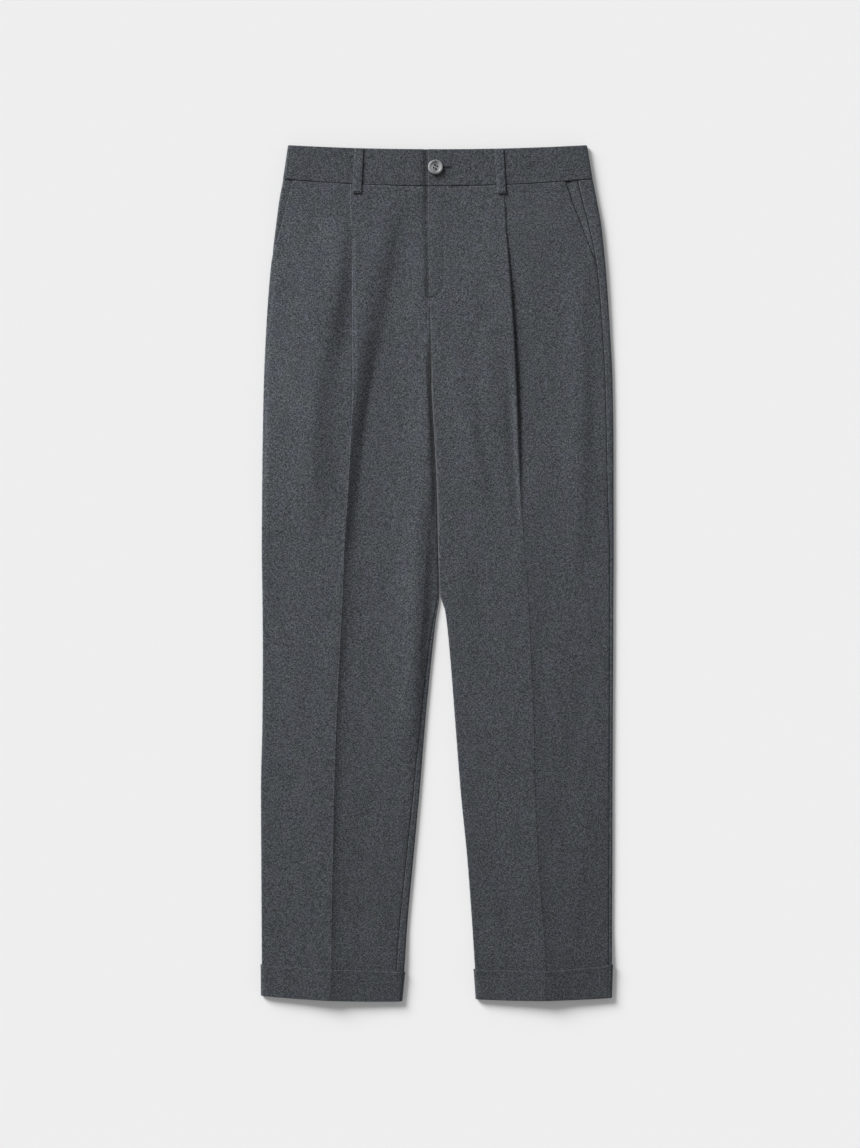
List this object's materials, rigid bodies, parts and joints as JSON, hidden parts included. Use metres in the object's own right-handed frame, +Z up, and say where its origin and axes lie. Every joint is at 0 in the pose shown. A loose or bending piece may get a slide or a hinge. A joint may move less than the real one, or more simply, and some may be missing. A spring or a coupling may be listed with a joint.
{
  "type": "pleated trousers",
  "caption": "Dark grey pleated wool trousers laid flat with the front up: buttoned waistband, belt loops, slanted side pockets, pressed creases and turn-ups.",
  "frame": {"origin": "under the middle of the garment's outline, on the surface that it lies on", "axes": "+X to the wearer's left, +Y from the hems to the waist, +Z up from the surface through the front"},
  "size_m": [0.4397, 1.0646, 0.013],
  "materials": {
    "cloth": "soft brushed wool flannel, dark grey with lighter and darker fibres mixed in it",
    "button": "smoky grey, slightly pearly, half gloss"
  },
  "bodies": {
    "root": {"front_left": "cloth", "front_right": "cloth", "back_left": "cloth", "back_right": "cloth", "pocket_side_left": "cloth", "pocket_side_right": "cloth", "waistband_left": "cloth", "waistband_right": "cloth", "belt_loop_left": "cloth", "belt_loop_right": "cloth", "waist_button": "button", "turn_up_left": "cloth", "turn_up_right": "cloth"}
  },
  "joints": []
}
